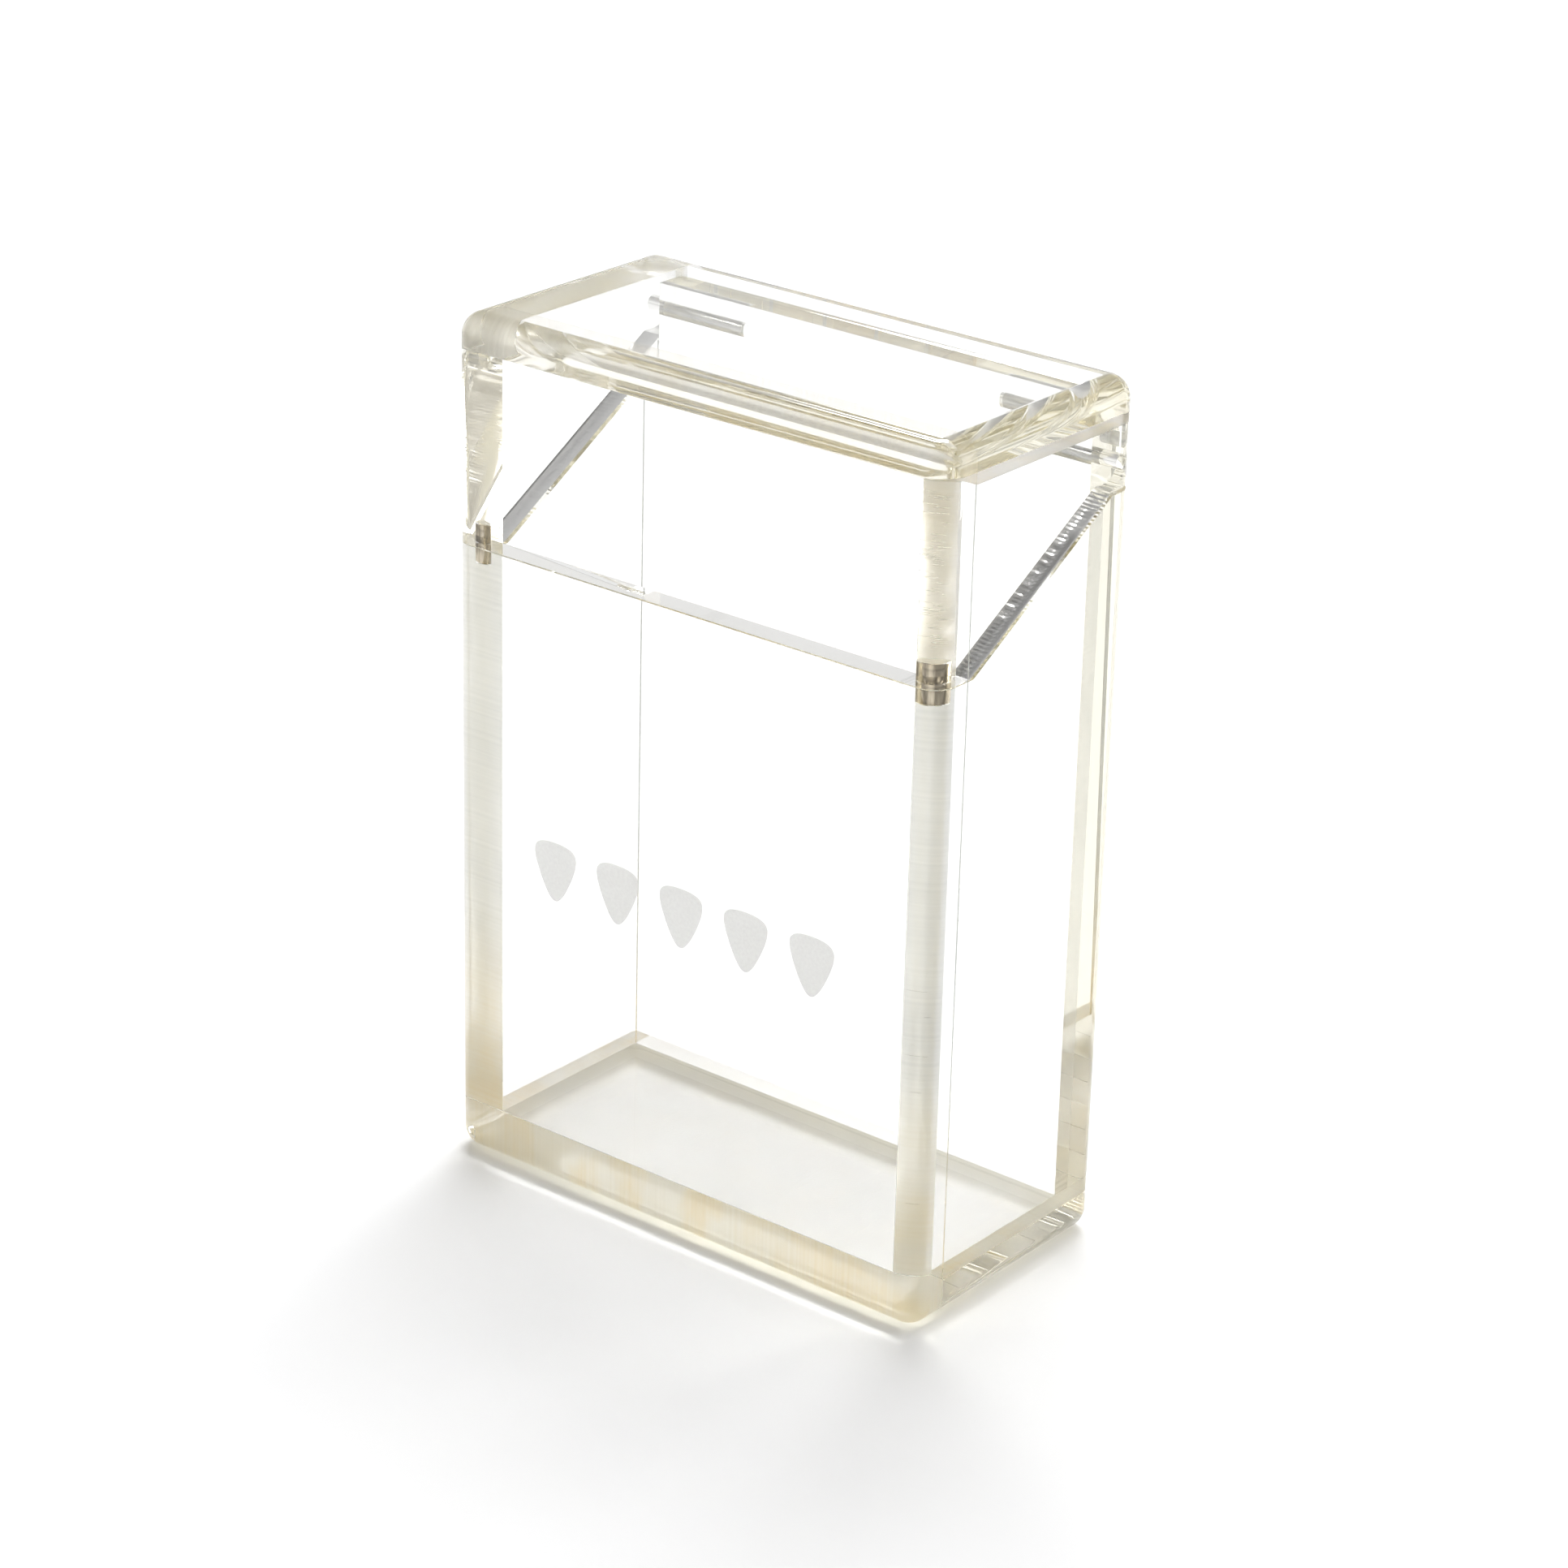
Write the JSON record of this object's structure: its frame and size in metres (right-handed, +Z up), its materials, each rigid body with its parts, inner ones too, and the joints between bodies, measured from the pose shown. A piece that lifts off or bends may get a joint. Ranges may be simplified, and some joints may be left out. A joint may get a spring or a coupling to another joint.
{
  "type": "guitar pick holder",
  "caption": "Clear acrylic flip-top box with cemented panels, a slant-cut lid on steel hinge pins and corner magnets that hold it shut.",
  "frame": {"origin": "centre of the base, on the surface that the case stands on", "axes": "+Z up along the height, -Y towards the front, +X to the right seen from the front, hinge at +Y"},
  "size_m": [0.0664, 0.0332, 0.1],
  "materials": {
    "acrylic": "clear polished cast acrylic, faint warm tint at the edges",
    "pin_steel": "drawn steel wire, satin",
    "magnet_nickel": "nickel-plated, bright with a warm cast"
  },
  "bodies": {
    "case": {"case_front_panel": "acrylic", "case_bottom_panel": "acrylic", "case_back_panel": "acrylic", "case_left_panel": "acrylic", "case_right_panel": "acrylic", "case_left_magnet": "magnet_nickel", "case_right_magnet": "magnet_nickel", "left_hinge_pin": "pin_steel", "right_hinge_pin": "pin_steel"},
    "lid": {"lid_front_panel": "acrylic", "lid_top_panel": "acrylic", "lid_left_cheek": "acrylic", "lid_right_cheek": "acrylic", "lid_left_magnet": "magnet_nickel", "lid_right_magnet": "magnet_nickel"}
  },
  "joints": [
    {"name": "lid_hinge", "type": "hinge", "parent": "case", "child": "lid", "pos_m": [0, 0.0136, 0.091], "axis": [-1, 0, 0], "range_deg": [0, 95]}
  ]
}
